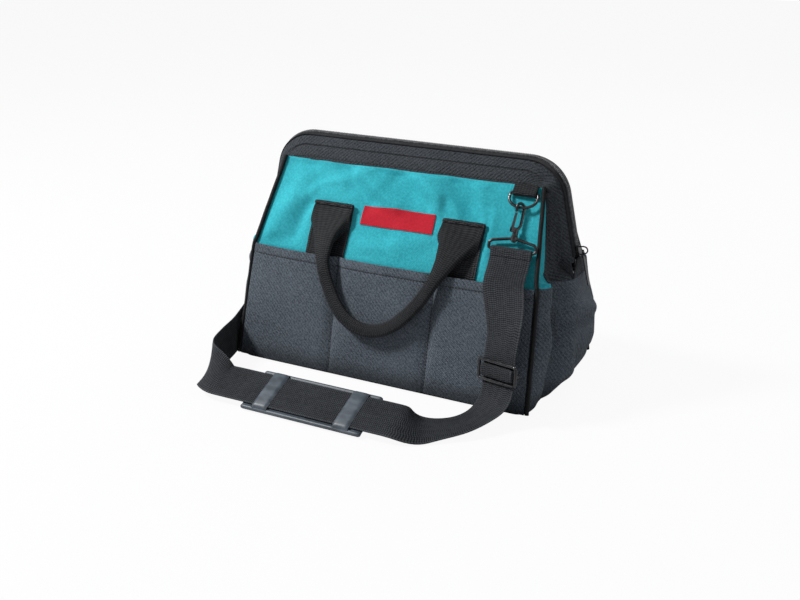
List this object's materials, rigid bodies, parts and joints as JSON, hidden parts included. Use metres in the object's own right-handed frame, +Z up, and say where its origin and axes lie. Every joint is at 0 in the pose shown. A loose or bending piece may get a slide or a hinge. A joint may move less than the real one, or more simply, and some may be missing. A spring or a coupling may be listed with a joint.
{
  "type": "canvas tool bag",
  "caption": "Wide-mouth canvas tool bag with hinged wire mouth frames, zip, pocket bands, webbing handles and a padded shoulder strap on swivel hooks.",
  "frame": {"origin": "centre of the base's underside, on the surface that the bag stands on", "axes": "+X along the bag's length to the end with the zip slider, -Y towards the front with the label, +Z up"},
  "size_m": [0.4442, 0.3752, 0.2615],
  "materials": {
    "canvas_teal": "plain-woven canvas, matt",
    "canvas_grey": "coarse plain-woven canvas, matt",
    "trim_black": "folded black cloth, matt",
    "webbing_black": "ribbed polyester webbing",
    "piping_black": "bound piping cord",
    "zip_coil": "nylon coil",
    "zip_metal": "black enamel",
    "hardware_black": "gloss black plated",
    "frame_steel": "drawn steel wire",
    "pad_rubber": "moulded, satin",
    "board": "stiffener sheet",
    "label_red": "woven label, blank"
  },
  "bodies": {
    "body": {"base_panel": "canvas_grey", "base_board": "board", "front_lower_panel": "canvas_grey", "rear_lower_panel": "canvas_grey", "front_pocket_band": "canvas_grey", "rear_pocket_band": "canvas_grey", "left_gusset": "canvas_grey", "right_gusset": "canvas_grey", "front_upper_panel": "canvas_teal", "rear_upper_panel": "canvas_teal", "throat_front_left": "trim_black", "throat_front_right": "trim_black", "throat_rear_left": "trim_black", "throat_rear_right": "trim_black", "piping_front_left_lower": "piping_black", "piping_front_right_lower": "piping_black", "piping_rear_left_lower": "piping_black", "piping_rear_right_lower": "piping_black", "piping_front_left_upper": "piping_black", "piping_front_right_upper": "piping_black", "piping_rear_left_upper": "piping_black", "piping_rear_right_upper": "piping_black", "zip_end_left": "trim_black", "zip_end_right": "trim_black", "hinge_rivet_left": "frame_steel", "hinge_rivet_right": "frame_steel", "handle_tab_front_left": "webbing_black", "handle_tab_front_right": "webbing_black", "handle_tab_rear_left": "webbing_black", "handle_tab_rear_right": "webbing_black", "label_patch": "label_red", "strap_front_run": "webbing_black", "strap_middle_run": "webbing_black", "strap_rear_run": "webbing_black"},
    "front_frame": {"front_frame_wire": "frame_steel", "front_mouth_hem": "trim_black", "front_zip_tape": "trim_black", "front_zip_coil": "zip_coil", "front_ring_tab": "webbing_black"},
    "rear_frame": {"rear_frame_wire": "frame_steel", "rear_mouth_hem": "trim_black", "rear_zip_tape": "trim_black", "rear_zip_coil": "zip_coil", "rear_ring_tab": "webbing_black"},
    "front_ring": {"front_d_ring": "hardware_black", "front_hook_loop": "hardware_black", "front_strap_eye": "webbing_black"},
    "rear_ring": {"rear_d_ring": "hardware_black", "rear_hook_loop": "hardware_black", "rear_strap_eye": "webbing_black"},
    "front_hook_body": {"front_hook": "hardware_black"},
    "rear_hook_body": {"rear_hook": "hardware_black"},
    "front_gate": {"front_hook_gate": "hardware_black"},
    "rear_gate": {"rear_hook_gate": "hardware_black"},
    "front_grip": {"front_handle": "webbing_black"},
    "rear_grip": {"rear_handle": "webbing_black"},
    "slider": {"zip_slider": "zip_metal"},
    "pull": {"zip_pull": "zip_metal"},
    "glide": {"strap_glide": "hardware_black"},
    "pad": {"shoulder_pad": "pad_rubber"}
  },
  "joints": [
    {"name": "front_frame_hinge", "type": "hinge", "parent": "body", "child": "front_frame", "pos_m": [0, 0, 0.138], "axis": [1, 0, 0], "range_deg": [0, 40], "deforming": ["front_upper_panel", "throat_front_left", "throat_front_right", "piping_front_left_upper", "piping_front_right_upper", "strap_front_run"]},
    {"name": "rear_frame_hinge", "type": "hinge", "parent": "body", "child": "rear_frame", "pos_m": [0, 0, 0.138], "axis": [-1, 0, 0], "range_deg": [0, 40], "deforming": ["rear_upper_panel", "throat_rear_left", "throat_rear_right", "piping_rear_left_upper", "piping_rear_right_upper", "strap_rear_run"]},
    {"name": "front_ring_hinge", "type": "hinge", "parent": "front_frame", "child": "front_ring", "pos_m": [0.1435, -0.03074, 0.22531], "axis": [1, 0, 0], "range_deg": [-40, 0]},
    {"name": "rear_ring_hinge", "type": "hinge", "parent": "rear_frame", "child": "rear_ring", "pos_m": [-0.1435, 0.03074, 0.22531], "axis": [-1, 0, 0], "range_deg": [-40, 0]},
    {"name": "front_hook_swivel", "type": "hinge", "parent": "front_ring", "child": "front_hook_body", "pos_m": [0.1435, -0.05508, 0.18487], "axis": [0, 0.4601, 0.8879], "range_deg": [0, 60]},
    {"name": "rear_hook_swivel", "type": "hinge", "parent": "rear_ring", "child": "rear_hook_body", "pos_m": [-0.1435, 0.05508, 0.18487], "axis": [0, -0.4601, 0.8879], "range_deg": [0, 60]},
    {"name": "front_gate_hinge", "type": "hinge", "parent": "front_hook_body", "child": "front_gate", "pos_m": [0.14042, -0.05512, 0.19278], "axis": [-0.766, 0.5707, -0.2957], "range_deg": [0, 17], "stiffness_Nm_per_rad": 0.006, "springref_deg": -17.19},
    {"name": "rear_gate_hinge", "type": "hinge", "parent": "rear_hook_body", "child": "rear_gate", "pos_m": [-0.14042, 0.05512, 0.19278], "axis": [0.766, -0.5707, -0.2957], "range_deg": [0, 17], "stiffness_Nm_per_rad": 0.006, "springref_deg": -17.19},
    {"name": "front_grip_hinge", "type": "hinge", "parent": "body", "child": "front_grip", "pos_m": [0, -0.05039, 0.18784], "axis": [1, 0, 0], "range_deg": [-170, 0]},
    {"name": "rear_grip_hinge", "type": "hinge", "parent": "body", "child": "rear_grip", "pos_m": [0, 0.05039, 0.18784], "axis": [-1, 0, 0], "range_deg": [-170, 0]},
    {"name": "slider_slide", "type": "slide", "parent": "front_frame", "child": "slider", "axis": [-0.2164, 0, 0.9763], "range_m": [0, 0.055]},
    {"name": "pull_hinge", "type": "hinge", "parent": "slider", "child": "pull", "pos_m": [0.20362, 0, 0.15782], "axis": [0, -1, 0], "range_deg": [0, 45]},
    {"name": "glide_slide", "type": "slide", "parent": "body", "child": "glide", "axis": [-0.0471, 0.1581, 0.9863], "range_m": [0, 0.024]},
    {"name": "pad_slide", "type": "slide", "parent": "body", "child": "pad", "axis": [1, 0, 0], "range_m": [-0.02, 0.02]}
  ],
  "couplings": [
    {"joint": "front_ring_hinge", "follows": "front_frame_hinge", "ratio": -1},
    {"joint": "rear_ring_hinge", "follows": "rear_frame_hinge", "ratio": -1}
  ]
}
